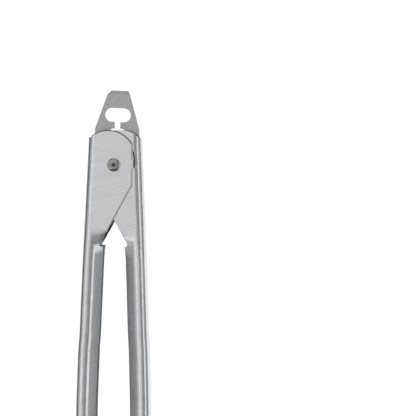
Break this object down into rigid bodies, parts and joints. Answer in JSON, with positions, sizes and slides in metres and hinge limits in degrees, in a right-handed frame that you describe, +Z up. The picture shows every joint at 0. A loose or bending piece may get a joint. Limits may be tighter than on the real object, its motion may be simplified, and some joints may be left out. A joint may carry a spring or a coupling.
{
  "type": "kitchen tongs",
  "caption": "Spring loaded stainless kitchen tongs: crossing channel arms on a pivot, scalloped scoop jaws, and a tapered pull tab that locks them shut and hangs them.",
  "frame": {"origin": "top edge of the oblong hanging hole in the pull tab, middle of the plate", "axes": "+Z up with the tongs hanging from the tab, +X to the right arm, -Y to the screw head at the front; the pivot axis lies along Y"},
  "size_m": [0.0463, 0.0356, 0.3031],
  "materials": {
    "arm_steel": "satin, brushed across the arm",
    "tab_steel": "satin, a little darker than the arms",
    "pivot_steel": "polished",
    "spring_steel": "bright drawn wire",
    "nylon": "natural nylon"
  },
  "bodies": {
    "pull_tab": {"pull_tab": "tab_steel"},
    "pivot_core": {"pivot_screw": "pivot_steel", "pivot_barrel": "pivot_steel", "spacer_sleeve": "nylon", "guide_washer_front": "nylon", "guide_washer_rear": "nylon", "torsion_spring": "spring_steel"},
    "left_arm": {"left_arm": "arm_steel"},
    "right_arm": {"right_arm": "arm_steel"}
  },
  "joints": [
    {"name": "tab_slide", "type": "slide", "parent": "pull_tab", "child": "pivot_core", "axis": [0.0384, 0, 0.9993], "range_m": [0, 0.01751]},
    {"name": "left_arm_swing", "type": "hinge", "parent": "pivot_core", "child": "left_arm", "pos_m": [-0.00108, -0.0024, -0.03549], "axis": [0, 1, 0], "range_deg": [0, 9], "stiffness_Nm_per_rad": 0.95, "springref_deg": 27.16, "deforming": ["torsion_spring"]},
    {"name": "right_arm_swing", "type": "hinge", "parent": "pivot_core", "child": "right_arm", "pos_m": [-0.00108, -0.0024, -0.03549], "axis": [0, 1, 0], "range_deg": [-9, 0], "stiffness_Nm_per_rad": 0.95, "springref_deg": -27.16, "deforming": ["torsion_spring"]}
  ],
  "couplings": [
    {"joint": "tab_slide", "follows": "left_arm_swing", "m_per_rad": 0.11141},
    {"joint": "right_arm_swing", "follows": "left_arm_swing", "ratio": -1}
  ]
}
